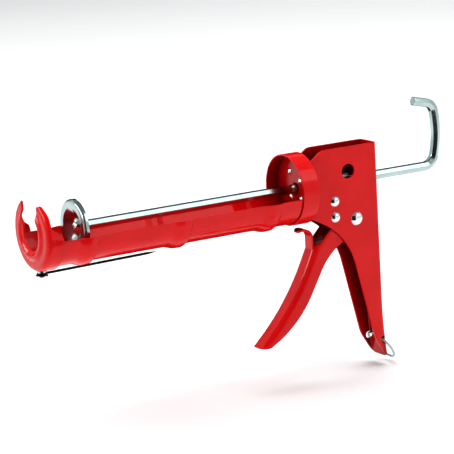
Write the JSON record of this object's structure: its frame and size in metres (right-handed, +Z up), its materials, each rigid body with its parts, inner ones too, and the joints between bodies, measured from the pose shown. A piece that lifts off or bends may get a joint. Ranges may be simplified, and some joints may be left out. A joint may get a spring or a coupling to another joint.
{
  "type": "caulking gun",
  "caption": "Half-barrel caulking gun: an open sheet-steel cradle for one cartridge, a hex push rod with a ladder hook, a squeeze trigger, a swing-out seal punch and a hang ring.",
  "frame": {"origin": "on the push rod's axis, at the front face of the collar plate, where the cartridge's rear end sits", "axes": "+X from the nozzle end towards the handle, +Z up out of the open cradle, +Y towards the gun's right side"},
  "size_m": [0.374, 0.058, 0.211],
  "materials": {
    "red_enamel": "gloss",
    "zinc_plate": "bright",
    "bright_nickel": "polished",
    "dark_steel": "satin",
    "black_oxide": "satin"
  },
  "bodies": {
    "body": {"handle_frame": "red_enamel", "collar_band": "red_enamel", "collar_plate": "red_enamel", "cradle": "red_enamel", "front_cap": "red_enamel", "collar_rivets": "bright_nickel", "frame_rivets": "bright_nickel", "pivot_rivet": "bright_nickel", "frame_spacers": "zinc_plate", "pivot_bushing": "zinc_plate", "spring_seat_washer": "zinc_plate", "drive_spring": "dark_steel", "seal_punch_rivet": "bright_nickel", "seal_punch_washer": "zinc_plate"},
    "trigger_group": {"trigger": "red_enamel", "pusher_pin": "zinc_plate", "spout_cutter_blade": "dark_steel"},
    "grip_plates": {"grip_plate_front": "dark_steel", "grip_plate_rear": "dark_steel"},
    "rod_group": {"push_rod": "zinc_plate", "plunger_disc": "zinc_plate", "plunger_screw": "bright_nickel", "plunger_washer": "zinc_plate"},
    "punch": {"seal_punch": "black_oxide"},
    "ring": {"hang_ring": "zinc_plate"}
  },
  "joints": [
    {"name": "trigger_squeeze", "type": "hinge", "parent": "body", "child": "trigger_group", "pos_m": [0.0492, 0, -0.0303], "axis": [0, -1, 0], "range_deg": [0, 28], "stiffness_Nm_per_rad": 1.5, "springref_deg": -17.19},
    {"name": "grip_feed", "type": "slide", "parent": "body", "child": "grip_plates", "axis": [-1, 0, 0], "range_m": [0, 0.0049], "deforming": ["drive_spring"]},
    {"name": "rod_slide", "type": "slide", "parent": "body", "child": "rod_group", "axis": [-1, 0, 0], "range_m": [-0.188, 0.029]},
    {"name": "seal_punch_swing", "type": "hinge", "parent": "body", "child": "punch", "pos_m": [-0.2256, 0, -0.0312], "axis": [0, 0, 1], "continuous": true},
    {"name": "hang_ring_swing", "type": "hinge", "parent": "body", "child": "ring", "pos_m": [0.0693, 0, -0.1335], "axis": [0, -1, 0], "range_deg": [-20, 120]}
  ],
  "couplings": [
    {"joint": "grip_feed", "follows": "trigger_squeeze", "m_per_rad": 0.01}
  ]
}
